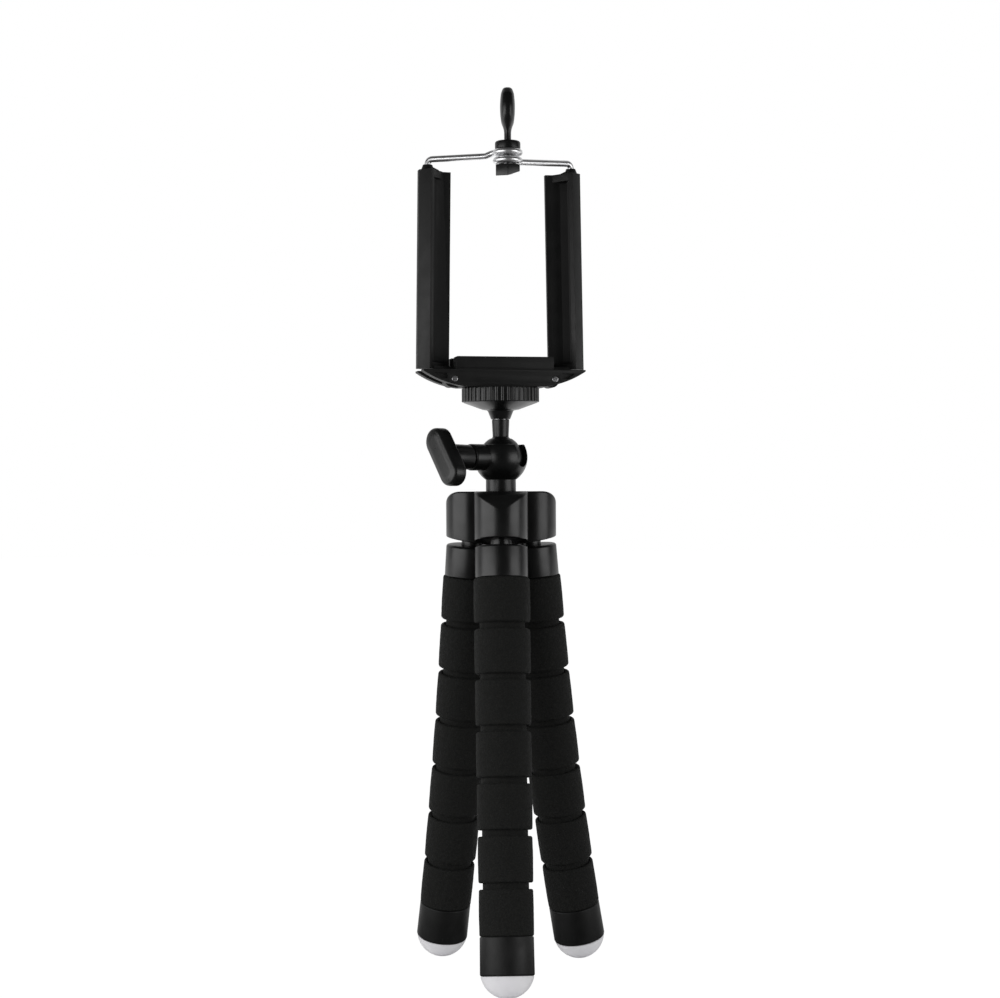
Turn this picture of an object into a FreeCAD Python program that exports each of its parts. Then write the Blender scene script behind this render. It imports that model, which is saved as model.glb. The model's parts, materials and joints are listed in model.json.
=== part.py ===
import FreeCAD, Part
import os
from math import atan2, cos, degrees, pi, radians, sin, sqrt, tan

V = FreeCAD.Vector
UP = V(0, 0, 1)

# Sizes in millimetres and degrees. Front is -Y, the phone lies across X.
axis_x, axis_y = -6.281, 2.545    # where the head's axis stands over the middle of the box

# legs
legs = [
    {"name": "front", "lobe": 258.0, "lean": 261.0},
    {"name": "left", "lobe": 138.0, "lean": 107.5},
    {"name": "right", "lobe": 18.0, "lean": 33.0},
]
lobe_circle = 13.45          # radius of the circle on which the legs hang
lean_top = radians(6.0)      # how far a leg leans out at its neck
bend_radius = 1300.0         # each leg is set in one gentle curve
neck_gap = 2.2               # from the neck's pivot to the top ferrule
ferrule_r, ferrule_len = 10.45, 12.6
core_r = 4.25
core_in_hub = 10.5
core_in_end = 8.7
tube_r = 8.9
rings = 7
ring_r, ring_taper = 11.0, 0.1
ring_bore = 9.1
ring_len, groove = 17.6, 2.4
ring_round = 1.0
end_ferrule_len = 14.7
seam = 0.08                  # left between a ferrule and the foam
tip_r, tip_rise = 10.25, 8.5
tip_plug_r, tip_plug_len = 6.0, 4.5
foot_flat = 0.3              # what the floor takes off each rounded tip

# hub
hub_rise = 19.4              # neck pivot to hub top
lobe_r, lobe_round = 10.5, 7.5
lobe_cut = 9.5              # slope of each lobe's underside, rising outward
lobe_cut_lift = -0.1
hub_middle_r = 9.5
post_r, post_in_hub = 6.0, 6.0
screw_r, screw_head_r, screw_head_len = 1.5, 2.8, 2.2

# ball head
ball_rise = 13.5             # hub top to ball centre
ball_r = 8.7
cup_r, cup_in_r, lip_r = 10.7, 9.51, 8.85
cup_rim, lip_low = 5.2, 2.5
notch_w, notch_side = 7.8, 318.0
liner_in_r, liner_out_r, liner_half = 8.78, 9.43, 40.0
stem_r, stem_low_r, stem_rise = 3.5, 2.8, 15.2
stud_r, camera_r, camera_len = 2.0, 3.175, 22.3
boss_r, boss_end, boss_side = 5.25, 16.2, 208.0
pad_r, pad_end = 2.6, 10.9
knob_gap = 0.4
knob_stem_r, knob_stem_big_r = 4.9, 5.15
bar_in, bar_out = 24.8, 31.4
bar_len, bar_w, bar_round = 25.5, 10.8, 1.3
bar_roll = 35.0

# lock disc
disc_neck_r, disc_flare_r, disc_shoulder_r = 3.8, 5.2, 7.4
disc_flare, disc_shoulder, disc_cone, disc_height = 3.6, 4.0, 6.8, 12.5
disc_r, knurl_depth, knurls = 15.5, 0.5, 40
disc_bore = 3.25
washer_in, washer_out, washer_sink, washer_proud = 7.0, 14.0, 0.9, 0.2

# clip base
base_gap = 0.3
base_half, base_half_y = 32.8, 9.5
base_flat = 16.4             # half width of the flat underside
base_h, cheek_h = 11.8, 6.7
block_half = 19.8
slot_half, slot_in = 3.9, 16.7
pin_in, pin_rise, pin_r = 12.5, 2.9, 1.25    # inward from the base's end, over its underside
insert_r, insert_bore, insert_len = 4.5, 3.25, 9.2
pocket_depth = 1.2
pocket = [(8.1, 5.2), (2.9, 5.2), (2.9, 3.0), (5.3, 3.0)]    # outward of the pin, over the underside

# jaws
jaw_rise, jaw_h = 7.1, 78.8  # above the base's underside
jaw_wall = 2.0
jaw_out, jaw_web = 34.0, 1.8
lip_x, lip_y = 29.8, 6.0
back_y, back_x, flange_x = 4.2, 26.8, 20.5
jaw_floor, jaw_cap, cap_in = 2.5, 3.0, 22.0    # cap_in: how far in the cap reaches
jaw_lean = 0.8
tongue_half, tongue_round, tongue_reach = 3.6, 3.0, 6.4
pin_play = 0.08
lining = 0.6
hole_x, hole_y = 30.4, -0.8
horn_r, horn_top_r, horn_h = 2.6, 1.9, 2.0
gusset_len, gusset_half = 4.4, 1.0    # rib from the horn inward along the jaw's top

# links and thumbscrew
wire_r, wire_bend = 1.25, 2.0
wire_rise, wire_down = 4.2, 3.2
apex_y = -16.0               # the screw stands this far in front of the jaws
eye_r = 4.6
eye_up, eye_down = 5.4, 2.2  # heights of the two eyes over the jaws
kink = 4.5                   # the left link steps up to its eye over this length
collar_rise, collar_r, collar_h = 6.7, 5.0, 3.1
paddle_top = 24.0
thumb_turn = -12.0
bolt_r, bolt_low = 2.0, -3.0
nut_low, nut_high, nut_flat, nut_turn = -5.2, 0.3, 9.4, 18.0
nut_under, nut_slope, nut_rises = -2.2, 23.7, 54.0    # its slanted underside
nut_play = 0.08


def polar(az, r, z=0.0):
    return V(r * cos(radians(az)), r * sin(radians(az)), z)


def face(points):
    return Part.Face(Part.makePolygon(points + [points[0]]))


def turned(shape, angle, axis=UP, about=None):
    out = shape.copy()
    out.rotate(about or V(0, 0, 0), axis, angle)
    return out


def moved(shape, offset):
    out = shape.copy()
    out.translate(offset)
    return out


def mirrored(shape):
    return shape.mirror(V(0, 0, 0), V(1, 0, 0))


def round_edges(shape, radius, r):
    edges = [e for e in shape.Edges if isinstance(e.Curve, Part.Circle) and abs(e.Curve.Radius - r) < 1e-4]
    return shape.makeFillet(radius, edges)


def turned_profile(points):
    """Solid of revolution round Z from (radius, height) points."""
    return face([V(r, 0, z) for r, z in points]).revolve(V(0, 0, 0), UP, 360)


# along a leg

ring_pitch = ring_len + groove
foam_top = neck_gap + ferrule_len
foam_low = foam_top + rings * ring_len + (rings - 1) * groove
leg_low = foam_low + end_ferrule_len
tip_ball = (tip_r ** 2 + tip_rise ** 2) / (2 * tip_rise)


def station(leg, s):
    """Point on a leg's centre line at length s from the neck, and the way down there."""
    out = polar(leg["lean"], 1.0)
    lean = lean_top + s / bend_radius
    neck = polar(leg["lobe"], lobe_circle, neck_z)
    point = neck + out * (bend_radius * (cos(lean_top) - cos(lean)))
    point = point - UP * (bend_radius * (sin(lean) - sin(lean_top)))
    return point, out * sin(lean) - UP * cos(lean)


def tip_centre(leg):
    point, down = station(leg, (foam_low + leg_low) / 2)
    return point + down * (end_ferrule_len / 2 + tip_rise - tip_ball)


neck_z = 0.0
neck_z = tip_ball - foot_flat - tip_centre(legs[0]).z
hub_top = neck_z + hub_rise
pin_x = base_half - pin_in
ball_z = hub_top + ball_rise
stem_top = ball_z + stem_rise
disc_top = stem_top + disc_height
base_low = disc_top + base_gap
jaw_low = base_low + jaw_rise
jaw_top = jaw_low + jaw_h
pin_z = base_low + pin_rise
screw_head_z = neck_z + 0.2


def groove_station(i):
    """Middle of the groove under ring i."""
    return foam_top + i * ring_pitch - groove / 2


def swept(leg, radius, start, end, bore=0.0):
    point, down = station(leg, start)
    section = Part.Face(Part.Wire(Part.makeCircle(radius, point, down)))
    if bore:
        section = section.cut(Part.Face(Part.Wire(Part.makeCircle(bore, point, down))))
        section = section.Faces[0]
    out = polar(leg["lean"], 1.0)
    neck = polar(leg["lobe"], lobe_circle, neck_z)
    centre = neck + out * (bend_radius * cos(lean_top)) + UP * (bend_radius * sin(lean_top))
    return section.revolve(centre, out.cross(UP), degrees((end - start) / bend_radius))


def leg_core(leg):
    point, down = station(leg, 0.0)
    root = Part.makeCylinder(core_r, core_in_hub, point, down * -1)
    return root.fuse(swept(leg, core_r, 0.0, foam_low + core_in_end)).removeSplitter()


def foam_tube(leg):
    return swept(leg, tube_r, foam_top, foam_low, core_r + 0.05)


def foam_ring(leg, i):
    middle = foam_top + (i - 1) * ring_pitch + ring_len / 2
    point, down = station(leg, middle)
    start = point - down * (ring_len / 2)
    r = ring_r - ring_taper * (i - 1)
    shape = round_edges(Part.makeCylinder(r, ring_len, start, down), ring_round, r)
    return shape.cut(Part.makeCylinder(ring_bore, ring_len, start, down))


def top_ferrule(leg):
    point, down = station(leg, neck_gap + ferrule_len / 2)
    start = point - down * (ferrule_len / 2)
    shape = round_edges(Part.makeCylinder(ferrule_r, ferrule_len - seam, start, down), 0.6, ferrule_r)
    return shape.cut(Part.makeCylinder(core_r + 0.1, ferrule_len, start, down))


def end_frame(leg):
    point, down = station(leg, (foam_low + leg_low) / 2)
    return point - down * (end_ferrule_len / 2), down


def end_ferrule(leg):
    start, down = end_frame(leg)
    shape = Part.makeCylinder(ferrule_r, end_ferrule_len - seam, start + down * seam, down)
    shape = round_edges(shape, 0.5, ferrule_r)
    shape = shape.cut(Part.makeCylinder(core_r + 0.1, core_in_end + 0.3, start, down))
    low = start + down * end_ferrule_len
    return shape.cut(Part.makeCylinder(tip_plug_r, tip_plug_len, low, down * -1))


def foot_tip(leg):
    start, down = end_frame(leg)
    low = start + down * end_ferrule_len
    dome = Part.makeSphere(tip_ball, tip_centre(leg))
    dome = dome.common(Part.makeCylinder(tip_ball + 1, tip_rise + 1, low, down))
    dome = dome.fuse(Part.makeCylinder(tip_plug_r, tip_plug_len, low, down * -1))
    floor = Part.makeBox(200, 200, 20, V(-100, -100, -20))
    return dome.cut(floor).removeSplitter()


# hub and ball head

def hub():
    low = neck_z - 8
    body = Part.makeCylinder(hub_middle_r, hub_top - low, V(0, 0, low))
    for leg in legs:
        body = body.fuse(Part.makeCylinder(lobe_r, hub_top - low, polar(leg["lobe"], lobe_circle, low)))
    domed = Part.makeCylinder(lobe_circle + lobe_r + 0.05, hub_top - low, V(0, 0, low))
    rim = [e for e in domed.Edges if abs(e.BoundBox.ZMin - hub_top) < 1e-4]
    body = body.common(domed.makeFillet(lobe_round, rim))
    for leg in legs:
        under = Part.makeBox(120, 120, 60, V(-60, -60, -60))
        under = turned(turned(under, -lobe_cut, V(0, 1, 0)), leg["lobe"])
        body = body.cut(moved(under, polar(leg["lobe"], lobe_circle, neck_z + lobe_cut_lift)))
        point, down = station(leg, 0.0)
        body = body.cut(Part.makeCylinder(core_r + 0.15, core_in_hub + 3.5, point + down * 3, down * -1))
    body = body.cut(Part.makeCylinder(post_r + 0.1, 20, V(0, 0, hub_top - post_in_hub)))
    body = body.cut(Part.makeCylinder(screw_r + 0.1, hub_rise, V(0, 0, neck_z)))
    sink = screw_head_z + screw_head_len - low
    return body.cut(Part.makeCylinder(screw_head_r + 0.3, sink, V(0, 0, low))).removeSplitter()


def socket_screw():
    head = Part.makeCylinder(screw_head_r, screw_head_len, V(0, 0, screw_head_z))
    tip = ball_z - cup_in_r - 2.5
    return head.fuse(Part.makeCylinder(screw_r, tip - screw_head_z, V(0, 0, screw_head_z)))


def on_side(shape, side):
    """Takes a shape built along +X to the ball's height, pointing to one side."""
    return moved(turned(shape, side), V(0, 0, ball_z))


def ball_cavity():
    low = Part.makeSphere(cup_in_r).common(Part.makeBox(40, 40, 20 + lip_low, V(-20, -20, -20)))
    return low.fuse(Part.makeSphere(lip_r))


def ball_socket():
    cup = Part.makeSphere(cup_r).common(Part.makeBox(40, 40, 20 + cup_rim, V(-20, -20, -20)))
    low = hub_top - post_in_hub - ball_z
    cup = cup.fuse(Part.makeCylinder(post_r, -low - cup_in_r + 1.5, V(0, 0, low)))
    boss = Part.makeCylinder(boss_r, boss_end, V(0, 0, 0), V(1, 0, 0))
    boss = boss.makeFillet(0.6, [e for e in boss.Edges if abs(e.BoundBox.XMin - boss_end) < 1e-4])
    cup = cup.fuse(turned(boss, boss_side)).cut(ball_cavity())
    notch = Part.makeCylinder(notch_w / 2, 20, V(0, 0, 0), V(1, 0, 0))
    notch = notch.fuse(Part.makeBox(20, notch_w, 20, V(0, -notch_w / 2, 0)))
    cup = cup.cut(turned(notch, notch_side))
    bore = Part.makeCylinder(pad_r + 0.1, pad_end + 0.1, V(0, 0, 0), V(1, 0, 0))
    bore = bore.fuse(Part.makeCylinder(stud_r + 0.08, boss_end + 1, V(0, 0, 0), V(1, 0, 0)))
    cup = cup.cut(turned(bore, boss_side))
    tip = -cup_in_r - 2.5
    cup = cup.cut(Part.makeCylinder(screw_r, tip - low + 0.1, V(0, 0, low)))
    return moved(cup.removeSplitter(), V(0, 0, ball_z))


def ball_liner():
    shell = Part.makeSphere(liner_out_r).cut(Part.makeSphere(liner_in_r))
    depth = liner_out_r * cos(radians(liner_half))
    return moved(shell.common(Part.makeBox(40, 40, 20, V(-20, -20, -20 - depth))), V(0, 0, ball_z))


def ball_stem():
    body = Part.makeSphere(ball_r, V(0, 0, ball_z))
    body = body.fuse(Part.makeCone(stem_low_r, stem_r, stem_rise, V(0, 0, ball_z)))
    return body.cut(Part.makeCylinder(stud_r, stem_rise - 5, V(0, 0, ball_z + 5))).removeSplitter()


def camera_screw():
    low = Part.makeCylinder(stud_r, stem_rise - 5, V(0, 0, ball_z + 5))
    thread = Part.makeCylinder(camera_r, camera_len, V(0, 0, stem_top))
    return low.fuse(thread.makeChamfer(0.6, [thread.Edges[0]])).removeSplitter()


def lock_disc():
    points = [(disc_bore, 0.1), (disc_neck_r, 0.1), (disc_flare_r, disc_flare)]
    points += [(disc_shoulder_r, disc_shoulder)]
    points += [(disc_r - knurl_depth - 0.4, disc_cone), (disc_r - knurl_depth - 0.4, disc_height)]
    body = turned_profile(points + [(disc_bore, disc_height)])
    outline = []
    for i in range(knurls):
        for part, r in ((0.0, disc_r - knurl_depth), (0.3, disc_r), (0.6, disc_r), (0.9, disc_r - knurl_depth)):
            outline.append(polar((i + part) * 360 / knurls, r, disc_cone))
    rim = face(outline).extrude(V(0, 0, disc_height - disc_cone))
    body = body.fuse(rim.cut(Part.makeCylinder(disc_bore, disc_height)))
    sink = Part.makeCylinder(washer_out, washer_sink, V(0, 0, disc_height - washer_sink))
    sink = sink.cut(Part.makeCylinder(washer_in, disc_height))
    return moved(body.cut(sink).removeSplitter(), V(0, 0, stem_top))


def disc_pad():
    height = washer_sink + washer_proud
    ring = Part.makeCylinder(washer_out, height).cut(Part.makeCylinder(washer_in, height))
    return moved(ring, V(0, 0, disc_top - washer_sink))


def knob_bar():
    half = bar_len / 2 - bar_w / 2
    depth = bar_out - bar_in
    bar = Part.makeBox(depth, bar_w, 2 * half, V(bar_in, -bar_w / 2, -half))
    for z in (-half, half):
        bar = bar.fuse(Part.makeCylinder(bar_w / 2, depth, V(bar_in, 0, z), V(1, 0, 0)))
    bar = bar.removeSplitter()
    edges = [e for e in bar.Edges if e.BoundBox.XLength < 1e-4]
    return turned(bar.makeFillet(bar_round, edges), bar_roll, V(1, 0, 0))


def lock_knob():
    start = boss_end + knob_gap
    stem = Part.makeCone(knob_stem_r, knob_stem_big_r, bar_in + 1 - start, V(start, 0, 0), V(1, 0, 0))
    knob = stem.fuse(knob_bar())
    knob = knob.cut(Part.makeCylinder(stud_r, 6.0, V(start - 1, 0, 0), V(1, 0, 0)))
    return on_side(knob.removeSplitter(), boss_side)


def lock_screw():
    length = boss_end + knob_gap + 5.0 - pad_end
    return on_side(Part.makeCylinder(stud_r, length, V(pad_end, 0, 0), V(1, 0, 0)), boss_side)


def brake_pad():
    pad = Part.makeCylinder(pad_r, pad_end - ball_r + 2, V(ball_r - 2, 0, 0), V(1, 0, 0))
    return on_side(pad.cut(Part.makeSphere(lip_r)), boss_side)


# phone clip

def base_profile():
    low, cheek, top = base_low, base_low + cheek_h, base_low + base_h
    ends = [(-base_half, cheek), (-base_half, cheek - 0.6)]
    mid = (-(base_half + base_flat) / 2 - 1.0, low + cheek_h * 0.35)
    left = [V(x, 0, z) for x, z in ends]
    corner = V(-base_flat, 0, low)
    arc = Part.Arc(left[1], V(mid[0], 0, mid[1]), corner).toShape()
    arc_right = Part.Arc(V(base_flat, 0, low), V(-mid[0], 0, mid[1]), V(base_half, 0, cheek - 0.6)).toShape()
    over = [V(base_half, 0, cheek - 0.6), V(base_half, 0, cheek), V(block_half, 0, cheek)]
    over += [V(block_half, 0, top), V(-block_half, 0, top), V(-block_half, 0, cheek)]
    over += left
    edges = [arc, Part.makeLine(corner, V(base_flat, 0, low)), arc_right]
    edges += [Part.makeLine(a, b) for a, b in zip(over, over[1:])]
    return Part.Face(Part.Wire(edges))


def clip_base():
    body = base_profile().extrude(V(0, 2 * base_half_y, 0))
    body = moved(body, V(0, -base_half_y, 0))
    ends = [e for e in body.Edges if e.BoundBox.ZLength < 1e-4 and e.BoundBox.XLength < 1e-4
            and abs(abs(e.BoundBox.XMin) - block_half) < 1e-4 and e.BoundBox.ZMin > base_low + base_h - 0.01]
    body = body.makeFillet(0.8, ends)
    cheek = base_low + cheek_h
    for side in (-1, 1):
        x0 = min(side * slot_in, side * (base_half + 3))
        slot = Part.makeBox(base_half + 3 - slot_in, 2 * slot_half, 20, V(x0, -slot_half, base_low - 5))
        body = body.cut(slot)
        body = body.cut(Part.makeCylinder(pin_r, 60, V(side * pin_x, -30, pin_z), V(0, 1, 0)))
        recess = face([V(side * (pin_x + x), -base_half_y, base_low + z) for x, z in pocket])
        body = body.cut(recess.extrude(V(0, pocket_depth, 0)))
    for y in (-base_half_y, base_half_y - 0.6):
        body = body.cut(Part.makeBox(2 * block_half, 0.6, 0.7, V(-block_half, y, cheek - 0.1)))
    return body.cut(Part.makeCylinder(insert_r, insert_len + 0.4, V(0, 0, base_low))).removeSplitter()


def thread_insert():
    body = Part.makeCylinder(insert_r, insert_len, V(0, 0, base_low + 0.2))
    return body.cut(Part.makeCylinder(insert_bore, insert_len, V(0, 0, base_low + 0.2)))


def hinge_pin(side):
    length = 2 * base_half_y + 0.4
    pin = Part.makeCylinder(pin_r, length, V(side * pin_x, -length / 2, pin_z), V(0, 1, 0))
    return pin.makeFillet(0.3, pin.Edges[:1] + pin.Edges[2:])


def cross(a, b):
    return a[0] * b[1] - a[1] * b[0]


def inner_path(points, wall):
    """The points moved inward by the wall, with mitred corners."""
    out = []
    for i, p in enumerate(points):
        dirs = []
        for a, b in ((i - 1, i), (i, i + 1)):
            if a >= 0 and b < len(points):
                dx, dy = points[b][0] - points[a][0], points[b][1] - points[a][1]
                size = sqrt(dx * dx + dy * dy)
                dirs.append((dx / size, dy / size))
        if len(dirs) == 1:
            out.append((p[0] + dirs[0][1] * wall, p[1] - dirs[0][0] * wall))
            continue
        a, b = dirs
        turn = atan2(cross(a, b), a[0] * b[0] + a[1] * b[1])
        mx, my = a[1] + b[1], -a[0] - b[0]
        size = sqrt(mx * mx + my * my)
        reach = wall / cos(turn / 2)
        out.append((p[0] + mx / size * reach, p[1] + my / size * reach))
    return out


def jaw_outline():
    return [(-lip_x, -lip_y), (-jaw_out, -jaw_web), (-jaw_out, jaw_web), (-back_x, back_y), (-flange_x, back_y)]


def leaned(shape, side):
    return turned(shape, -side * jaw_lean, V(0, 1, 0), V(side * pin_x, 0, pin_z))


def jaw(side):
    outline = jaw_outline()
    closed = outline + inner_path(outline, jaw_wall)[::-1]
    body = face([V(x, y, jaw_low) for x, y in closed]).extrude(V(0, 0, jaw_h))
    floor = face([V(x, y, jaw_low) for x, y in outline]).extrude(V(0, 0, jaw_floor))
    cap = face([V(x, y, jaw_top - jaw_cap) for x, y in outline[:4] + [(-cap_in, back_y)]])
    cap = cap.extrude(V(0, 0, jaw_cap))
    horn = Part.makeCone(horn_r, horn_top_r, horn_h, V(-hole_x, hole_y, jaw_top))
    rib = [(-hole_x, jaw_top - 0.5), (-hole_x, jaw_top + horn_h), (-hole_x + gusset_len, jaw_top),
           (-hole_x + gusset_len, jaw_top - 0.5)]
    rib = face([V(x, hole_y - gusset_half, z) for x, z in rib]).extrude(V(0, 2 * gusset_half, 0))
    web = [(-pin_x - tongue_round - tongue_reach, jaw_low + 1), (-pin_x + tongue_round, jaw_low + 1)]
    web += [(-pin_x + tongue_round, pin_z), (-pin_x - tongue_round, pin_z)]
    tongue = face([V(x, -tongue_half, z) for x, z in web]).extrude(V(0, 2 * tongue_half, 0))
    eye = Part.makeCylinder(tongue_round, 2 * tongue_half, V(-pin_x, -tongue_half, pin_z), V(0, 1, 0))
    body = body.fuse([floor, cap, horn, rib, tongue, eye])
    body = body.cut(Part.makeCylinder(pin_r + pin_play, 40, V(-pin_x, -20, pin_z), V(0, 1, 0)))
    body = body.cut(Part.makeCylinder(wire_r + 0.08, 20, V(-hole_x, hole_y, jaw_top - wire_down - 1)))
    body = leaned(body.removeSplitter(), -1)
    return body if side < 0 else mirrored(body)


def jaw_pad(side):
    low = jaw_low + jaw_floor + 0.5
    high = jaw_top - jaw_cap - 0.5
    outer = inner_path(jaw_outline(), jaw_wall + 0.05)[:4]
    inner = inner_path(jaw_outline(), jaw_wall + 0.05 + lining)[:4]
    pad = face([V(x, y, low) for x, y in outer + inner[::-1]]).extrude(V(0, 0, high - low))
    pad = leaned(pad, -1)
    return pad if side < 0 else mirrored(pad)


def link_foot(side):
    """Where a link's bent-down end stands on its jaw."""
    a = radians(jaw_lean)
    x, z = -hole_x + pin_x, jaw_top - pin_z
    point = V(-pin_x + x * cos(a) + z * sin(a), hole_y, pin_z - x * sin(a) + z * cos(a))
    return point if side < 0 else V(-point.x, point.y, point.z)


def rod(points, radius):
    """Round wire through the points, with a rounded bend at each one between the ends."""
    edges, last = [], points[0]
    for a, b, c in zip(points, points[1:], points[2:]):
        u, w = (a - b).normalize(), (c - b).normalize()
        turn = pi - u.getAngle(w)
        reach = wire_bend * tan(turn / 2)
        p, q = b + u * reach, b + w * reach
        inward = (u + w).normalize()
        middle = b + inward * (wire_bend / cos(turn / 2) - wire_bend)
        edges += [Part.makeLine(last, p), Part.Arc(p, middle, q).toShape()]
        last = q
    edges.append(Part.makeLine(last, points[-1]))
    ring = Part.Wire(Part.makeCircle(radius, points[0], points[1] - points[0]))
    return Part.Wire(edges).makePipeShell([ring], True, True)


def link(side):
    foot = link_foot(side)
    eye = V(0, apex_y, jaw_top + (eye_up if side < 0 else eye_down))
    corner = foot + UP * wire_rise
    flat = V(eye.x - corner.x, eye.y - corner.y, 0).normalize()
    end = eye - flat * eye_r
    points = [foot - UP * wire_down, corner, end]
    if side < 0:
        step = end - flat * kink
        points.insert(2, V(step.x, step.y, corner.z))
    return rod(points, wire_r).fuse(Part.makeTorus(eye_r, wire_r, eye, UP)).removeSplitter()


def spline_face(half, place):
    right = [place(w, z) for w, z in half]
    left = [place(-w, z) for w, z in half]
    curves = []
    for points in (right, left):
        curve = Part.BSplineCurve()
        curve.interpolate(points)
        curves.append(curve.toShape())
    lines = [Part.makeLine(right[0], left[0]), Part.makeLine(right[-1], left[-1])]
    return Part.Face(Part.Wire(Part.__sortEdges__(curves + lines)))


def thumbscrew():
    z = jaw_top + collar_rise
    thin = [(1.4, 2.6), (1.4, 6.8), (1.75, 8.5), (2.45, 10.5), (2.85, 13.8), (2.9, 17.8), (2.55, 21.6)]
    thin.append((1.8, paddle_top))
    broad = [(3.2, 2.6), (3.4, 6.5), (4.6, 9.5), (6.2, 13.0), (6.6, 17.0), (5.5, 21.0), (2.9, paddle_top)]
    edge = spline_face(thin, lambda w, h: V(w, -10, h)).extrude(V(0, 20, 0))
    side = spline_face(broad, lambda w, h: V(-10, w, h)).extrude(V(20, 0, 0))
    paddle = edge.common(side)
    collar = Part.makeCylinder(collar_r, collar_h)
    collar = collar.makeFillet(0.7, [e for e in collar.Edges if abs(e.BoundBox.ZMin - collar_h) < 1e-4])
    body = turned(collar.fuse(paddle).cut(Part.makeCylinder(bolt_r, collar_h - 0.6)), thumb_turn)
    return moved(body.removeSplitter(), V(0, apex_y, z))


def thumbscrew_stud():
    length = collar_rise + collar_h - 0.6 - bolt_low
    return Part.makeCylinder(bolt_r, length, V(0, apex_y, jaw_top + bolt_low))


def clamp_nut():
    r = nut_flat / sqrt(3)
    points = [polar(60 * i + nut_turn, r, nut_low) for i in range(6)]
    nut = face(points).extrude(V(0, 0, nut_high - nut_low))
    under = Part.makeBox(60, 60, 20, V(-30, -30, -20))
    under = turned(under, -nut_slope, UP.cross(polar(nut_rises, 1.0)))
    nut = nut.cut(moved(under, V(0, 0, nut_under)))
    nut = nut.cut(Part.makeCylinder(bolt_r + nut_play, 20, V(0, 0, -10)))
    return moved(nut, V(0, apex_y, jaw_top))


def build_all():
    parts = {}
    for leg in legs:
        name = leg["name"]
        parts["leg_core_" + name] = leg_core(leg)
        parts["foam_tube_" + name] = foam_tube(leg)
        for i in range(1, rings + 1):
            parts["foam_ring_%s_%d" % (name, i)] = foam_ring(leg, i)
        parts["top_ferrule_" + name] = top_ferrule(leg)
        parts["end_ferrule_" + name] = end_ferrule(leg)
        parts["foot_tip_" + name] = foot_tip(leg)
    for make in (hub, socket_screw, ball_socket, ball_liner, ball_stem, camera_screw, lock_disc, disc_pad,
                 lock_knob, lock_screw, brake_pad, clip_base, thread_insert, thumbscrew, thumbscrew_stud,
                 clamp_nut):
        parts[make.__name__] = make()
    for side, word in ((-1, "left"), (1, "right")):
        parts["arm_" + word] = jaw(side)
        parts["arm_pad_" + word] = jaw_pad(side)
        parts["hinge_pin_" + word] = hinge_pin(side)
        parts["link_" + word] = link(side)
    return {name: moved(shape, V(axis_x, axis_y, 0)) for name, shape in parts.items()}


def main():
    os.makedirs("parts", exist_ok=True)
    for name, shape in build_all().items():
        shape.exportStep("parts/" + name + ".step")
        print(name, len(shape.Solids), shape.isValid(), round(shape.Volume, 1))


if __name__ == "__main__":
    main()
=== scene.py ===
import json
import math

import bmesh
import bpy
from mathutils import Matrix, Vector


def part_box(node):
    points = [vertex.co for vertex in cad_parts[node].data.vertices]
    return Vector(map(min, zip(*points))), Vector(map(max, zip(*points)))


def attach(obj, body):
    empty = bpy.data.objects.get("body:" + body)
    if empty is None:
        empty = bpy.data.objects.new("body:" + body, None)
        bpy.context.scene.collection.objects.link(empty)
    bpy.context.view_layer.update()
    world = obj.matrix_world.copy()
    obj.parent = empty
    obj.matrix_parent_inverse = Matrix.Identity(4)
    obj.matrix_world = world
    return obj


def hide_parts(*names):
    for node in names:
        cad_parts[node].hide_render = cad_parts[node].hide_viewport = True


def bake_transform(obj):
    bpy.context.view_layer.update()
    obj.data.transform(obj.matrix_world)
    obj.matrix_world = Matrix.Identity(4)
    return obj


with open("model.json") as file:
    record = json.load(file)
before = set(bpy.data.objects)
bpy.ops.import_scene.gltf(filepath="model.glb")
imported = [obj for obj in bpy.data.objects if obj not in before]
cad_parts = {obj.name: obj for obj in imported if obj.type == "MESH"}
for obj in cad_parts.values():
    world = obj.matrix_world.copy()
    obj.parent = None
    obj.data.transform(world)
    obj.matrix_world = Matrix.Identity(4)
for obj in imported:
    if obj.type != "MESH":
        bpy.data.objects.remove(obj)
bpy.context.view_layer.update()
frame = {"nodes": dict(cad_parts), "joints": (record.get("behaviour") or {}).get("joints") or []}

mm = 0.001
up = Vector((0, 0, 1))
scene = bpy.context.scene
scene.view_settings.view_transform = "Standard"
joints = {j["name"]: j for j in frame["joints"]}


def jointPlace(name):
    return Vector(joints[name]["pos_m"])


headAxis = jointPlace("disc_spin")  # the upright axis of the ball head
ballCentre = jointPlace("ball_roll")
screwPlace = jointPlace("thumbscrew_turn")  # on the thumbscrew's axis, at the jaws' top
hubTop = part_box("hub")[1].z
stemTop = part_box("ball_stem")[1].z
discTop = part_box("lock_disc")[1].z
print("frame loaded:", len(frame["nodes"]), "nodes")


# camera as in the photograph

shot = {"azimuth": -12.0, "distance": 800.0, "height": 189.2, "aside": -0.4, "roll": 0.3, "lens": 72.0,
        "sensor": 36.0, "clip": (0.01, 50.0)}


def placeCamera():
    turn = math.radians(shot["azimuth"])
    forward = Vector((-math.sin(turn), math.cos(turn), 0))
    right = forward.cross(up)
    spot = Vector((headAxis.x, headAxis.y, 0)) - forward * shot["distance"] * mm
    spot += right * shot["aside"] * mm + up * shot["height"] * mm
    data = bpy.data.cameras.new("photoCamera")
    data.lens, data.sensor_width = shot["lens"], shot["sensor"]
    data.clip_start, data.clip_end = shot["clip"]
    camera = bpy.data.objects.new("photoCamera", data)
    aim = forward.to_track_quat("-Z", "Y").to_matrix().to_4x4()
    lean = Matrix.Rotation(math.radians(-shot["roll"]), 4, "Z")
    camera.matrix_world = Matrix.Translation(spot) @ aim @ lean
    scene.collection.objects.link(camera)
    scene.camera = camera
    return forward, right


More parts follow.
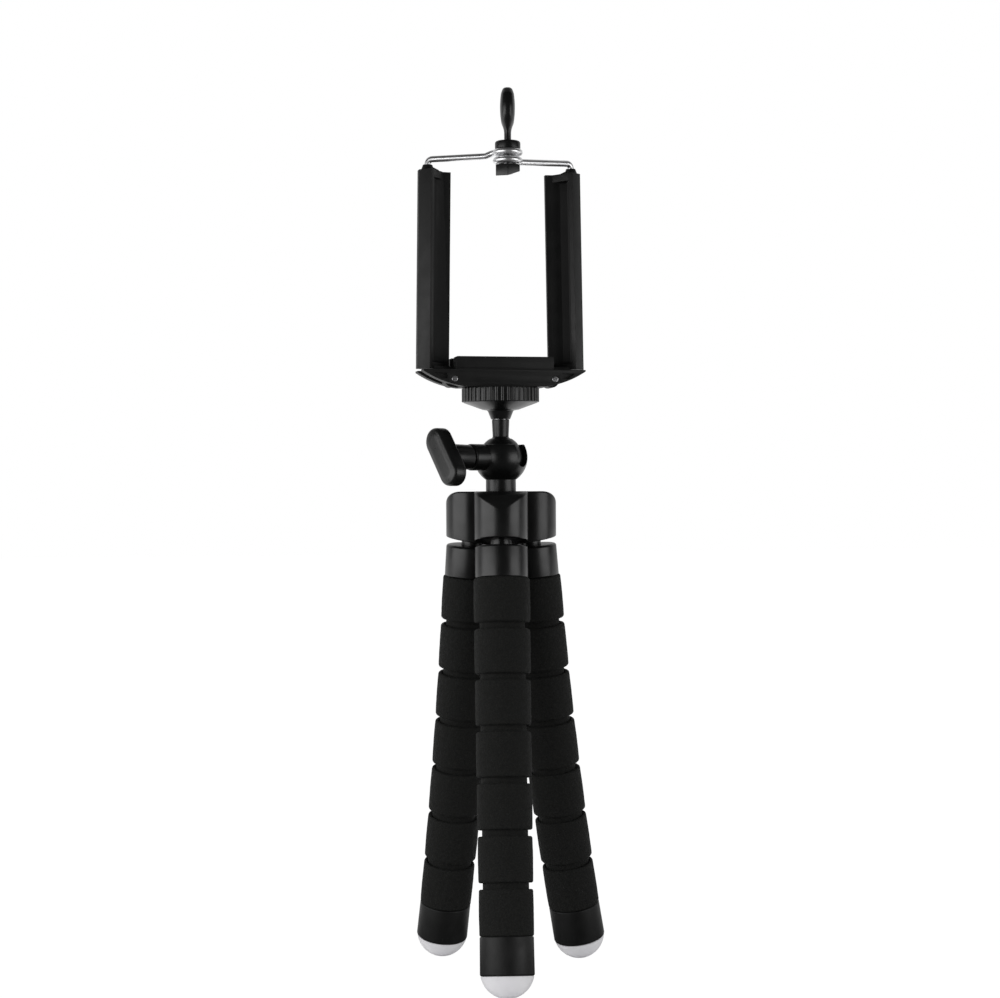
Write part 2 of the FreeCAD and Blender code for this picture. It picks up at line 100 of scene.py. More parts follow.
forward, right = placeCamera()


# node helpers, for shader and geometry trees alike

def feed(tree, node, values):
    for label, value in values.items():
        if isinstance(value, bpy.types.NodeSocket):
            tree.links.new(value, node.inputs[label])
        else:
            node.inputs[label].default_value = value


def setNode(tree, kind, values, **options):
    node = tree.nodes.new(kind)
    for label, value in options.items():
        setattr(node, label, value)
    feed(tree, node, values)
    return node.outputs


def sums(tree, operation, a, b):
    return setNode(tree, "ShaderNodeMath", {0: a, 1: b}, operation=operation)[0]


def ranged(tree, value, source, target, way="LINEAR"):
    values = {"Value": value, "From Min": source[0], "From Max": source[1], "To Min": target[0], "To Max": target[1]}
    return setNode(tree, "ShaderNodeMapRange", values, interpolation_type=way)["Result"]


def clearedTree(owner):
    owner.use_nodes = True
    owner.node_tree.nodes.clear()
    return owner.node_tree


# studio: pale floor, white surround, a broad soft box on each side

studio = {
    "floorHalf": 6.0, "paperColour": (0.9, 0.9, 0.9), "tableColour": (0.12, 0.12, 0.12),
    "paperFront": 0.11, "mirrorFront": -0.07, "edgeFade": 0.04,
    "paperGlow": 0.86, "paperWhite": 1.12, "tableWhite": 1.17,
    "surround": 0.42, "frontGlow": 0.035, "backGlow": 0.6, "surroundFade": (0.15, 0.6), "aimHeight": 0.19,
    "boxes": [
        {"name": "softBoxLeft", "side": -0.65, "front": 0.38, "height": 0.19, "size": (1.00, 0.42), "power": 3.3},
        {"name": "softBoxRight", "side": 0.65, "front": 0.37, "height": 0.19, "size": (0.60, 0.42), "power": 1.7},
    ],
}


def aheadFade(tree, coordinate, source, target):
    place = setNode(tree, "ShaderNodeTexCoord", {})[coordinate]
    ahead = setNode(tree, "ShaderNodeVectorMath", {0: place, 1: forward}, operation="DOT_PRODUCT")["Value"]
    return ranged(tree, ahead, source, target, "SMOOTHSTEP")


def makeSurround():
    world = bpy.data.worlds.new("whiteSurround")
    scene.world = world
    tree = clearedTree(world)
    path = setNode(tree, "ShaderNodeLightPath", {})
    shine = sums(tree, "MAXIMUM", path["Is Glossy Ray"], path["Is Transmission Ray"])
    seen = sums(tree, "MAXIMUM", path["Is Camera Ray"], shine)
    fade = aheadFade(tree, "Generated", studio["surroundFade"], (studio["frontGlow"], studio["backGlow"]))
    # the camera sees white all round
    shown = setNode(tree, "ShaderNodeMix", {"Factor": path["Is Camera Ray"], "A": fade, "B": 1.0})["Result"]
    level = setNode(tree, "ShaderNodeMix", {"Factor": seen, "A": studio["surround"], "B": shown})["Result"]
    glow = setNode(tree, "ShaderNodeBackground", {"Color": (1, 1, 1, 1), "Strength": level})["Background"]
    setNode(tree, "ShaderNodeOutputWorld", {"Surface": glow})


def floorFade(tree, front, target):
    edge, half = headAxis.dot(forward) - front, studio["edgeFade"]
    return aheadFade(tree, "Object", (edge - half, edge + half), target)


def floorPaint():
    paint = bpy.data.materials.new("floorPaper")
    tree = clearedTree(paint)
    path = setNode(tree, "ShaderNodeLightPath", {})
    white = floorFade(tree, studio["paperFront"], (0.0, 1.0))
    mirrored = floorFade(tree, studio["mirrorFront"], (0.0, 1.0))
    share = setNode(tree, "ShaderNodeMix", {"Factor": path["Is Glossy Ray"], "A": white, "B": mirrored})["Result"]
    # pale paper, on a dark table that starts in front of the object
    colours = {"Factor": share, "A": (*studio["tableColour"], 1), "B": (*studio["paperColour"], 1)}
    tone = setNode(tree, "ShaderNodeMix", colours, data_type="RGBA")["Result"]
    paper = setNode(tree, "ShaderNodeBsdfDiffuse", {"Color": tone})["BSDF"]
    # the table glows a little more, so that no edge shows between them
    level = floorFade(tree, studio["paperFront"], (studio["tableWhite"], studio["paperWhite"]))
    glow = setNode(tree, "ShaderNodeEmission", {"Strength": level})["Emission"]
    shine = sums(tree, "MAXIMUM", path["Is Glossy Ray"], path["Is Transmission Ray"])
    seen = sums(tree, "MAXIMUM", path["Is Camera Ray"], sums(tree, "MULTIPLY", shine, mirrored))
    glowing = sums(tree, "MULTIPLY", seen, studio["paperGlow"])
    mixed = setNode(tree, "ShaderNodeMixShader", {"Fac": glowing, 1: paper, 2: glow})["Shader"]
    setNode(tree, "ShaderNodeOutputMaterial", {"Surface": mixed})
    return paint


def makeFloor():
    half = studio["floorHalf"]
    mesh = bpy.data.meshes.new("studioFloor")
    mesh.from_pydata([(-half, -half, 0), (half, -half, 0), (half, half, 0), (-half, half, 0)], [], [(0, 1, 2, 3)])
    mesh.materials.append(floorPaint())
    floor = bpy.data.objects.new("studioFloor", mesh)
    scene.collection.objects.link(floor)


def makeSoftBoxes():
    middle = Vector((headAxis.x, headAxis.y, studio["aimHeight"]))
    for box in studio["boxes"]:
        data = bpy.data.lights.new(box["name"], "AREA")
        data.shape = "RECTANGLE"
        data.size, data.size_y = box["size"]
        data.energy = box["power"]
        lamp = bpy.data.objects.new(box["name"], data)
        spot = Vector((headAxis.x, headAxis.y, box["height"])) + right * box["side"] - forward * box["front"]
        aim = (middle - spot).to_track_quat("-Z", "Y").to_matrix().to_4x4()
        lamp.matrix_world = Matrix.Translation(spot) @ aim
        scene.collection.objects.link(lamp)


makeSurround()
makeFloor()
makeSoftBoxes()
print("studio placed")


# shared finishes

def noiseOf(tree, vector, scale, detail):
    return setNode(tree, "ShaderNodeTexNoise", {"Vector": vector, "Scale": scale, "Detail": detail})["Fac"]


def grainGroup(name, sizes):
    tree = bpy.data.node_groups.new(name, "ShaderNodeTree")
    for label, kind in (("Vector", "Vector"), ("Scale", "Float"), ("Smooth", "Float"), ("Rough", "Float")):
        tree.interface.new_socket(label, in_out="INPUT", socket_type="NodeSocket" + kind)
    for label in ("Height", "Roughness", "Tone"):
        tree.interface.new_socket(label, in_out="OUTPUT", socket_type="NodeSocketFloat")
    given = tree.nodes.new("NodeGroupInput").outputs
    fine = noiseOf(tree, given["Vector"], given["Scale"], sizes["fineDetail"])
    larger = sums(tree, "MULTIPLY", given["Scale"], sizes["broadScale"])
    broad = noiseOf(tree, given["Vector"], larger, sizes["broadDetail"])
    marks = {"fine": fine, "broad": broad}[sizes["roughBy"]]
    rough = ranged(tree, marks, sizes["range"], (given["Smooth"], given["Rough"]))
    setNode(tree, "NodeGroupOutput", {"Height": fine, "Roughness": rough, "Tone": broad})
    return tree


mouldSizes = {"fineDetail": 3, "broadScale": 0.05, "broadDetail": 4, "roughBy": "broad", "range": (0.3, 0.7)}
drawnSizes = {"fineDetail": 5, "broadScale": 0.12, "broadDetail": 2, "roughBy": "fine", "range": (0.3, 0.7)}
mouldGrain = grainGroup("mouldGrain", mouldSizes)
drawnMetal = grainGroup("drawnMetal", drawnSizes)


class Finish:
    def __init__(self, name):
        self.material = bpy.data.materials.new(name)
        self.tree = clearedTree(self.material)
        self.shader = self.tree.nodes.new("ShaderNodeBsdfPrincipled")
        setNode(self.tree, "ShaderNodeOutputMaterial", {"Surface": self.shader.outputs["BSDF"]})
        self.place = setNode(self.tree, "ShaderNodeTexCoord", {})["Object"]

    def give(self, values):
        feed(self.tree, self.shader, values)

    def colours(self, mask, look, span=(0.3, 0.7)):
        ramp = self.tree.nodes.new("ShaderNodeValToRGB")
        for stop, spot, colour in zip(ramp.color_ramp.elements, span, (look["dark"], look["light"])):
            stop.position, stop.color = spot, (*colour, 1)
        self.tree.links.new(mask, ramp.inputs["Fac"])
        self.give({"Base Color": ramp.outputs["Color"]})

    def bump(self, height, depth):
        values = {"Height": height, "Distance": depth * mm, "Strength": 1.0}
        self.give({"Normal": setNode(self.tree, "ShaderNodeBump", values)["Normal"]})


def grained(name, group, look):
    finish = Finish(name)
    vector = finish.place
    if "stretch" in look:  # marks drawn out along the piece
        values = {"Vector": vector, "Scale": look["stretch"]}
        vector = setNode(finish.tree, "ShaderNodeMapping", values)["Vector"]
    values = {"Vector": vector, "Scale": look["grain"], "Smooth": look["smooth"], "Rough": look["rough"]}
    made = setNode(finish.tree, "ShaderNodeGroup", values, node_tree=group)
    finish.colours(made["Tone"], look)
    finish.bump(made["Height"], look["depth"])
    finish.give({"Roughness": made["Roughness"], "Metallic": look.get("metal", 0.0),
                 "Specular IOR Level": look.get("gloss", 0.5)})
    if "through" in look:  # soft translucent rubber
        finish.give({"Subsurface Weight": look["through"], "Subsurface Radius": (look["throughReach"],) * 3,
                     "Subsurface Scale": 1.0})
    return finish.material


def moulded(name, look):
    return grained(name, mouldGrain, look)


def metal(name, look):
    return grained(name, drawnMetal, look)


foamLook = {"cell": 1500.0, "cellShare": -0.7, "pore": 700.0, "poreDetail": 4, "poreShare": 0.6,
            "poreRange": (0.3, 0.7),
            "speckle": 2600.0, "speckleDetail": 2, "speckleRange": (0.45, 0.75), "speckleShare": 0.6,
            "dark": (0.0060, 0.0064, 0.0057), "light": (0.0175, 0.0178, 0.0165), "span": (0.2, 0.8),
            "rough": (0.72, 0.95), "depth": 0.22, "gloss": 0.22}


def foamFinish():
    finish, look = Finish("blackFoam"), foamLook
    tree = finish.tree
    cells = setNode(tree, "ShaderNodeTexVoronoi", {"Vector": finish.place, "Scale": look["cell"]})["Distance"]
    pores = noiseOf(tree, finish.place, look["pore"], look["poreDetail"])
    speckle = noiseOf(tree, finish.place, look["speckle"], look["speckleDetail"])
    spots = ranged(tree, speckle, look["speckleRange"], (0.0, look["speckleShare"]))
    tone = sums(tree, "ADD", sums(tree, "MULTIPLY", pores, look["poreShare"]), spots)
    finish.colours(tone, look, look["span"])
    finish.bump(sums(tree, "ADD", sums(tree, "MULTIPLY", cells, look["cellShare"]), pores), look["depth"])
    finish.give({"Roughness": ranged(tree, pores, look["poreRange"], look["rough"]),
                 "Specular IOR Level": look["gloss"]})
    return finish.material


glossLook = {"grain": 2600.0, "smooth": 0.28, "rough": 0.38, "dark": (0.0030, 0.0031, 0.0031),
             "light": (0.0052, 0.0054, 0.0054), "depth": 0.006}
satinLook = {"grain": 3600.0, "smooth": 0.26, "rough": 0.36, "dark": (0.0042, 0.0043, 0.0043),
             "light": (0.0070, 0.0072, 0.0071), "depth": 0.015}
matteLook = {"grain": 3200.0, "smooth": 0.46, "rough": 0.60, "dark": (0.0045, 0.0046, 0.0045),
             "light": (0.0075, 0.0077, 0.0075), "depth": 0.03, "gloss": 0.4}
tipLook = {"grain": 1800.0, "smooth": 0.38, "rough": 0.52, "dark": (0.88, 0.87, 0.91),
           "light": (0.95, 0.94, 0.97), "depth": 0.02, "through": 0.35, "throughReach": 0.004}
nylonLook = {"grain": 2200.0, "smooth": 0.35, "rough": 0.5, "dark": (0.50, 0.49, 0.45),
             "light": (0.62, 0.61, 0.57), "depth": 0.015}
liningLook = {"grain": 1700.0, "smooth": 0.62, "rough": 0.85, "dark": (0.011, 0.011, 0.011),
              "light": (0.022, 0.022, 0.022), "depth": 0.06, "gloss": 0.3}
chromeLook = {"stretch": (1, 1, 1), "grain": 700.0, "smooth": 0.30, "rough": 0.42, "dark": (0.86, 0.86, 0.87),
              "light": (0.95, 0.95, 0.96), "depth": 0.003, "metal": 1.0}
steelLook = {"stretch": (1, 1, 6), "grain": 500.0, "smooth": 0.2, "rough": 0.38, "dark": (0.46, 0.46, 0.47),
             "light": (0.62, 0.62, 0.63), "depth": 0.008, "metal": 1.0}
brassLook = {"stretch": (1, 1, 5), "grain": 500.0, "smooth": 0.2, "rough": 0.36, "dark": (0.55, 0.40, 0.15),
             "light": (0.75, 0.56, 0.24), "depth": 0.008, "metal": 1.0}

finishes = {
    "foam": foamFinish(),
    "core": moulded("coreSheath", glossLook),
    "gloss_black": moulded("glossBlack", glossLook),
    "satin_black": moulded("satinBlack", satinLook),
    "matte": moulded("matteBlack", matteLook),
    "tip": moulded("paleRubber", tipLook),
    "nylon": moulded("slipNylon", nylonLook),
    "lining": moulded("softLining", liningLook),
    "chrome": metal("chromedWire", chromeLook),
    "steel": metal("turnedSteel", steelLook),
    "brass": metal("turnedBrass", brassLook),
}
print("finishes made:", len(finishes))


# mesh helpers

meshSizes = {"halfEdge": 0.49, "wholeEdge": 0.98, "point": 1e-6, "weld": 2e-6, "treeWeld": 1e-6, "flatAngle": 0.8,
             "crease": 38.0}


def quarter(steps):
    return [math.pi / 2 * k / steps for k in range(steps + 1)]


def rounded(points, radii, steps=6, closed=False):
    out, count = [], len(points)
    for i, p in enumerate(points):
        radius = radii[i]
        if not radius or (not closed and i in (0, count - 1)):
            out.append(Vector(p))
            continue
        a, b, c = Vector(points[i - 1]), Vector(p), Vector(points[(i + 1) % count])
        u, w = (a - b).normalized(), (c - b).normalized()
        half = u.angle(w) / 2
        shares = [meshSizes["halfEdge" if radii[k % count] else "wholeEdge"] for k in (i - 1, i + 1)]
        reach = min(radius / math.tan(half), shares[0] * (a - b).length, shares[1] * (c - b).length)
        arm = reach * math.tan(half)
        centre = b + (u + w).normalized() * (arm / math.sin(half))
        first, last = b + u * reach - centre, b + w * reach - centre
        out += [centre + first.slerp(last, k / steps).normalized() * arm for k in range(steps + 1)]
    return out


def placed(origin, direction):
    return Matrix.Translation(origin) @ up.rotation_difference(direction).to_matrix().to_4x4()


def loft(bm, loops, closed=False):
    rows = []
    for loop in loops:
        rows.append([bm.verts.new(p) for p in loop])
    pairs = list(zip(rows, rows[1:])) + ([(rows[-1], rows[0])] if closed else [])
    for a, b in pairs:
        count = max(len(a), len(b))
        for k in range(count):
            n = (k + 1) % count
            if len(a) == 1:
                bm.faces.new((a[0], b[k], b[n]))
            elif len(b) == 1:
                bm.faces.new((a[k], b[0], a[n]))
            else:
                bm.faces.new((a[k], b[k], b[n], a[n]))
    if not closed:
        for row in (rows[0], rows[-1]):
            if len(row) > 2:
                bm.faces.new(row)


def rodProfile(radius, low, high):
    return [(0, low), (radius, low), (radius, high), (0, high)]


def turnedMesh(profile, place, segments=96, closed=False):
    bm = bmesh.new()
    loops = []
    for radius, height in profile:
        if radius < meshSizes["point"]:
            loops.append([place @ Vector((0, 0, height * mm))])
            continue
        ring = []
        for k in range(segments):
            a = 2 * math.pi * k / segments
            ring.append(place @ Vector((radius * math.cos(a) * mm, radius * math.sin(a) * mm, height * mm)))
        loops.append(ring)
    loft(bm, loops, closed)
    return bm


def toObject(name, bm):
    bmesh.ops.recalc_face_normals(bm, faces=bm.faces)
    mesh = bpy.data.meshes.new(name)
    bm.to_mesh(mesh)
    bm.free()
    piece = bpy.data.objects.new(name, mesh)
    scene.collection.objects.link(piece)
    return piece


def baked(piece):
    bpy.context.view_layer.update()
    mesh = bpy.data.meshes.new_from_object(piece.evaluated_get(bpy.context.evaluated_depsgraph_get()))
    piece.modifiers.clear()
    piece.data = mesh
    return piece


def dressed(piece, slot, crease=meshSizes["crease"], finish=None):
    mesh = piece.data
    mesh.materials.clear()
    mesh.materials.append(finishes[finish or slot])
    for poly in mesh.polygons:
        poly.material_index = 0
        poly.use_smooth = True
    mesh.set_sharp_from_angle(angle=math.radians(crease))
    return piece


def fitted(piece, body, slot, *nodes, crease=meshSizes["crease"], finish=None):
    dressed(piece, slot, crease, finish)
    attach(piece, body)
    if nodes:
        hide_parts(*nodes)
    return piece


def cutWith(piece, tool, operation="DIFFERENCE"):
    change = piece.modifiers.new("cut", "BOOLEAN")
    change.operation, change.solver, change.object = operation, "EXACT", tool
    baked(piece)
    bpy.data.objects.remove(tool)
    return piece


def joinedTo(piece, tool):
    return cutWith(piece, tool, "UNION")


def softEdges(piece, width, segments=3, angle=30.0):
    change = piece.modifiers.new("edges", "BEVEL")
    change.width, change.segments = width * mm, segments
    change.limit_method, change.angle_limit = "ANGLE", math.radians(angle)
    change.use_clamp_overlap = True
    return baked(piece)


def copied(name, node):
    bm = bmesh.new()
    bm.from_mesh(frame["nodes"][node].data)
    bmesh.ops.remove_doubles(bm, verts=bm.verts, dist=meshSizes["weld"])
    flat = math.radians(meshSizes["flatAngle"])
    bmesh.ops.dissolve_limit(bm, angle_limit=flat, verts=bm.verts, edges=bm.edges)
    return toObject(name, bm)


# geometry node trees

def meshTree(name, inputs):
    tree = bpy.data.node_groups.new(name, "GeometryNodeTree")
    tree.interface.new_socket("Geometry", in_out="INPUT", socket_type="NodeSocketGeometry")
    keys = {}
    for label, kind in inputs.items():
        keys[label] = tree.interface.new_socket(label, in_out="INPUT", socket_type="NodeSocket" + kind).identifier
    tree.interface.new_socket("Geometry", in_out="OUTPUT", socket_type="NodeSocketGeometry")
    return tree, keys, tree.nodes.new("NodeGroupInput").outputs, tree.nodes.new("NodeGroupOutput").inputs


def endTree(tree, geometry, material, out):
    real = setNode(tree, "GeometryNodeRealizeInstances", {"Geometry": geometry})["Geometry"]
    smooth = setNode(tree, "GeometryNodeSetShadeSmooth", {"Geometry": real})["Geometry"]
    done = setNode(tree, "GeometryNodeSetMaterial", {"Geometry": smooth, "Material": material})
    tree.links.new(done["Geometry"], out["Geometry"])


ringDetail = {"corner": 8, "cornerShare": 0.48, "section": 92, "around": 112, "noise": 3.0}


def ringTree():
    tree, keys, given, out = meshTree("foamRing", {
        "Radius": "Float", "Bore": "Float", "Length": "Float", "Rounding": "Float", "Crown": "Float",
        "Lumps": "Float", "Lump Scale": "Float", "Seed": "Float", "Material": "Material"})
    wall = sums(tree, "SUBTRACT", given["Radius"], given["Bore"])
    middle = sums(tree, "MULTIPLY", sums(tree, "ADD", given["Radius"], given["Bore"]), 0.5)
    section = setNode(tree, "GeometryNodeCurvePrimitiveQuadrilateral", {"Width": wall, "Height": given["Length"]})
    corner = sums(tree, "MINIMUM", given["Rounding"], sums(tree, "MULTIPLY", wall, ringDetail["cornerShare"]))
    values = {"Curve": section["Curve"], "Radius": corner, "Count": ringDetail["corner"]}
    soft = setNode(tree, "GeometryNodeFilletCurve", values, mode="POLY")
    values = {"Curve": soft["Curve"], "Count": ringDetail["section"]}
    fine = setNode(tree, "GeometryNodeResampleCurve", values, mode="COUNT")
    values = {"Radius": middle, "Resolution": ringDetail["around"]}
    circle = setNode(tree, "GeometryNodeCurvePrimitiveCircle", values)
    body = setNode(tree, "GeometryNodeCurveToMesh", {"Curve": circle["Curve"], "Profile Curve": fine["Curve"]})
    spot = setNode(tree, "GeometryNodeInputPosition", {})["Position"]
    axes = setNode(tree, "ShaderNodeSeparateXYZ", {"Vector": spot})
    flat = setNode(tree, "ShaderNodeCombineXYZ", {"X": axes["X"], "Y": axes["Y"]})["Vector"]
    reach = setNode(tree, "ShaderNodeVectorMath", {0: flat}, operation="LENGTH")["Value"]
    outside = sums(tree, "GREATER_THAN", reach, middle)
    along = sums(tree, "DIVIDE", axes["Z"], sums(tree, "MULTIPLY", given["Length"], 0.5))
    bulge = sums(tree, "SUBTRACT", 1.0, sums(tree, "MULTIPLY", along, along))
    swell = sums(tree, "MULTIPLY", sums(tree, "MULTIPLY", bulge, given["Crown"]), outside)
    shift = setNode(tree, "ShaderNodeCombineXYZ", {"X": given["Seed"], "Y": given["Seed"]})["Vector"]
    seeded = setNode(tree, "ShaderNodeVectorMath", {0: spot, 1: shift}, operation="ADD")["Vector"]
    noise = noiseOf(tree, seeded, given["Lump Scale"], ringDetail["noise"])
    lump = sums(tree, "MULTIPLY", sums(tree, "SUBTRACT", noise, 0.5), given["Lumps"])
    total = sums(tree, "ADD", swell, lump)
    outward = setNode(tree, "ShaderNodeVectorMath", {0: flat}, operation="NORMALIZE")["Vector"]
    push = setNode(tree, "ShaderNodeVectorMath", {0: outward, "Scale": total}, operation="SCALE")["Vector"]
    moved = setNode(tree, "GeometryNodeSetPosition", {"Geometry": body["Mesh"], "Offset": push})
    endTree(tree, moved["Geometry"], given["Material"], out)
    return tree, keys


def knurlTree():
    tree, keys, given, out = meshTree("rimKnurl", {
        "Radius": "Float", "Count": "Int", "Rib": "Float", "Sides": "Int", "Height": "Float", "Material": "Material"})
    circle = setNode(tree, "GeometryNodeMeshCircle", {"Vertices": given["Count"], "Radius": given["Radius"]})
    top = setNode(tree, "ShaderNodeCombineXYZ", {"Z": given["Height"]})["Vector"]
    line = setNode(tree, "GeometryNodeCurvePrimitiveLine", {"Start": (0, 0, 0), "End": top})
    values = {"Radius": given["Rib"], "Resolution": given["Sides"]}
    section = setNode(tree, "GeometryNodeCurvePrimitiveCircle", values)
    values = {"Curve": line["Curve"], "Profile Curve": section["Curve"], "Fill Caps": True}
    rib = setNode(tree, "GeometryNodeCurveToMesh", values)
    ribs = setNode(tree, "GeometryNodeInstanceOnPoints", {"Points": circle["Mesh"], "Instance": rib["Mesh"]})
    endTree(tree, ribs["Instances"], given["Material"], out)
    return tree, keys


def wireTree():
    tree, keys, given, out = meshTree("bentWire", {
        "Radius": "Float", "Bend": "Float", "Bend Steps": "Int", "Sides": "Int", "Material": "Material"})
    values = {"Curve": given["Geometry"], "Radius": given["Bend"], "Count": given["Bend Steps"], "Limit Radius": True}
    soft = setNode(tree, "GeometryNodeFilletCurve", values, mode="POLY")
    values = {"Radius": given["Radius"], "Resolution": given["Sides"]}
    section = setNode(tree, "GeometryNodeCurvePrimitiveCircle", values)
    values = {"Curve": soft["Curve"], "Profile Curve": section["Curve"], "Fill Caps": True}
    wire = setNode(tree, "GeometryNodeCurveToMesh", values)
    endTree(tree, wire["Mesh"], given["Material"], out)
    return tree, keys


def grown(name, data, tree, keys, values):
    seedling = bpy.data.objects.new(name, data)
    scene.collection.objects.link(seedling)
    change = seedling.modifiers.new("tree", "NODES")
    change.node_group = tree
    for label, value in values.items():
        change[keys[label]] = value
    bpy.context.view_layer.update()
    mesh = bpy.data.meshes.new_from_object(seedling.evaluated_get(bpy.context.evaluated_depsgraph_get()))
    bpy.data.objects.remove(seedling)
    bm = bmesh.new()
    bm.from_mesh(mesh)
    bmesh.ops.remove_doubles(bm, verts=bm.verts, dist=meshSizes["treeWeld"])
    return toObject(name, bm)


# legs: a sheathed core, a foam sleeve and seven raised foam rings on each

legSizes = {
    "leanTop": 6.0, "bendRadius": 1300.0, "neckGap": 2.2, "ferruleR": 10.45, "ferruleLen": 12.6,
    "coreR": 4.25, "coreInHub": 10.5, "coreInEnd": 8.7, "tubeR": 8.9, "rings": 7, "ringR": 11.0,
    "ringTaper": 0.1, "ringBore": 9.1, "ringLen": 17.6, "groove": 2.4, "ringRound": 1.05, "crown": 0.12,
    "lumps": 0.16, "lumpScale": 420.0, "seedStep": 0.1, "endLen": 14.7, "draft": 0.1,
    "coreGap": 0.1, "coreEndGap": 0.3,
    "topRounds": (0.3, 0.9, 0.5, 0), "endRounds": (0, 0, 0, 0.6, 0.7, 0), "ferruleSides": 112,
    "tubeSteps": 40, "tubeSides": 48, "coreSteps": 36, "coreSides": 40,
    "grooveReach": 2.6, "neckAt": 0.4, "neckReach": 1.8,
}
ringPitch = legSizes["ringLen"] + legSizes["groove"]
foamTop = legSizes["neckGap"] + legSizes["ferruleLen"]
foamLow = foamTop + legSizes["rings"] * ringPitch - legSizes["groove"]
legNames = ("front", "left", "right")


def legPath(leg):
    neck = jointPlace(leg + "_neck")
    low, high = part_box("foot_tip_" + leg)
    out = (low + high) / 2 - neck
    out.z = 0
    return neck, out.normalized()


legPaths = {leg: legPath(leg) for leg in legNames}


def station(leg, s):
    neck, out = legPaths[leg]
    top = math.radians(legSizes["leanTop"])
    turn = legSizes["bendRadius"] * mm
    lean = top + max(s, 0) / legSizes["bendRadius"]
    point = neck + out * turn * (math.cos(top) - math.cos(lean)) - up * turn * (math.sin(lean) - math.sin(top))
    down = out * math.sin(lean) - up * math.cos(lean)
    if s < 0:  # straight into the hub
        point = point + down * s * mm
    return point, down


def legSleeve(leg, kind, start, end):
    radius, steps, segments = (legSizes[kind + part] for part in ("R", "Steps", "Sides"))
    bm = bmesh.new()
    loops = []
    for k in range(steps + 1):
        point, down = station(leg, start + (end - start) * k / steps)
        side = down.cross(legPaths[leg][1].cross(up)).normalized()
        other = down.cross(side)
        ring = []
        for n in range(segments):
            a = 2 * math.pi * n / segments
            ring.append(point + (side * math.cos(a) + other * math.sin(a)) * radius * mm)
        loops.append(ring)
    loft(bm, [[sum(loops[0], Vector()) / segments]] + loops + [[sum(loops[-1], Vector()) / segments]])
    return bm


def blended(piece, slot, node):
    dressed(piece, slot)
    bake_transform(piece)
    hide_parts(node)


def makeLegSleeves(leg):
    count = legSizes["rings"]
    middles = [foamTop + k * ringPitch + legSizes["ringLen"] / 2 for k in range(count)]
    for i in range(1, count):
        top = foamTop if i == 1 else middles[i - 1]
        low = foamLow if i == count - 1 else middles[i]
        tube = toObject("foamSleeve_%s_%d" % (leg, i), legSleeve(leg, "tube", top, low))
        blended(tube, "foam", "foam_tube_" + leg)
    ends = [-legSizes["coreInHub"]] + middles[:-1] + [foamLow + legSizes["coreInEnd"]]
    for i in range(count):
        core = toObject("legCore_%s_%d" % (leg, i), legSleeve(leg, "core", ends[i], ends[i + 1]))
        blended(core, "core", "leg_core_" + leg)


def makeFoamRings(leg, tree, keys):
    for i in range(1, legSizes["rings"] + 1):
        middle = foamTop + (i - 1) * ringPitch + legSizes["ringLen"] / 2
        point, down = station(leg, middle)
        radius = legSizes["ringR"] - legSizes["ringTaper"] * (i - 1)
        values = {
            "Radius": radius * mm, "Bore": legSizes["ringBore"] * mm, "Length": legSizes["ringLen"] * mm,
            "Rounding": legSizes["ringRound"] * mm, "Crown": legSizes["crown"] * mm, "Lumps": legSizes["lumps"] * mm,
            "Lump Scale": legSizes["lumpScale"], "Seed": legSizes["seedStep"] * (i + 10 * legNames.index(leg)),
            "Material": finishes["foam"]}
        name = "foamRing_%s_%d" % (leg, i)
        piece = grown(name, bpy.data.meshes.new(name), tree, keys, values)
        piece.data.transform(placed(point, down))
        fitted(piece, "leg_%s_%d" % (leg, i), "foam", "foam_ring_%s_%d" % (leg, i), crease=60)


def makeFerrules(leg):
    r, bore, sides = legSizes["ferruleR"], legSizes["coreR"] + legSizes["coreGap"], legSizes["ferruleSides"]
    topR = r - legSizes["draft"]
    length = legSizes["ferruleLen"]
    point, down = station(leg, legSizes["neckGap"] + length / 2)
    start = point - down * length / 2 * mm
    profile = [(bore, 0), (topR, 0), (r, length), (bore, length)]
    profile = rounded(profile, legSizes["topRounds"], closed=True)
    top = toObject("topFerrule_" + leg, turnedMesh(profile, placed(start, down), sides, True))
    fitted(top, "leg_%s_1" % leg, "gloss_black", "top_ferrule_" + leg)
    length = legSizes["endLen"]
    point, down = station(leg, foamLow + length / 2)
    start = point - down * length / 2 * mm
    deep = legSizes["coreInEnd"] + legSizes["coreEndGap"]
    profile = [(0, deep), (bore, deep), (bore, 0), (topR, 0), (r, length), (0, length)]
    profile = rounded(profile, legSizes["endRounds"])
    low = toObject("endFerrule_" + leg, turnedMesh(profile, placed(start, down), sides))
    fitted(low, "leg_%s_%d" % (leg, legSizes["rings"]), "gloss_black", "end_ferrule_" + leg, finish="matte")
    makeTip(leg, start + down * length * mm, down)


tipSizes = {"r": 10.25, "rise": 8.5, "gap": 0.02, "seatIn": 0.35, "edgeIn": 0.1, "edgeRise": 0.12, "domeStart": 0.5,
            "steps": 30}


def makeTip(leg, start, down):
    sizes = tipSizes
    r, rise, gap = sizes["r"], sizes["rise"], sizes["gap"]
    ball = (r * r + rise * rise) / (2 * rise)
    profile = [(0, gap), (r - sizes["seatIn"], gap), (r - sizes["edgeIn"], sizes["edgeRise"])]
    bm = turnedMesh(profile + tipDome(ball, rise), placed(start, down))
    for v in bm.verts:
        v.co.z = max(v.co.z, 0)  # worn flat where it stands
    fitted(toObject("footTip_" + leg, bm), "leg_%s_%d" % (leg, legSizes["rings"]), "tip", "foot_tip_" + leg)


def tipDome(ball, rise):
    centre, steps = rise - ball, tipSizes["steps"]
    first = math.asin((tipSizes["domeStart"] - centre) / ball)
    dome = []
    for k in range(steps + 1):
        a = first + (math.pi / 2 - first) * k / steps
        dome.append((ball * math.cos(a) if k < steps else 0, centre + ball * math.sin(a)))
    return dome


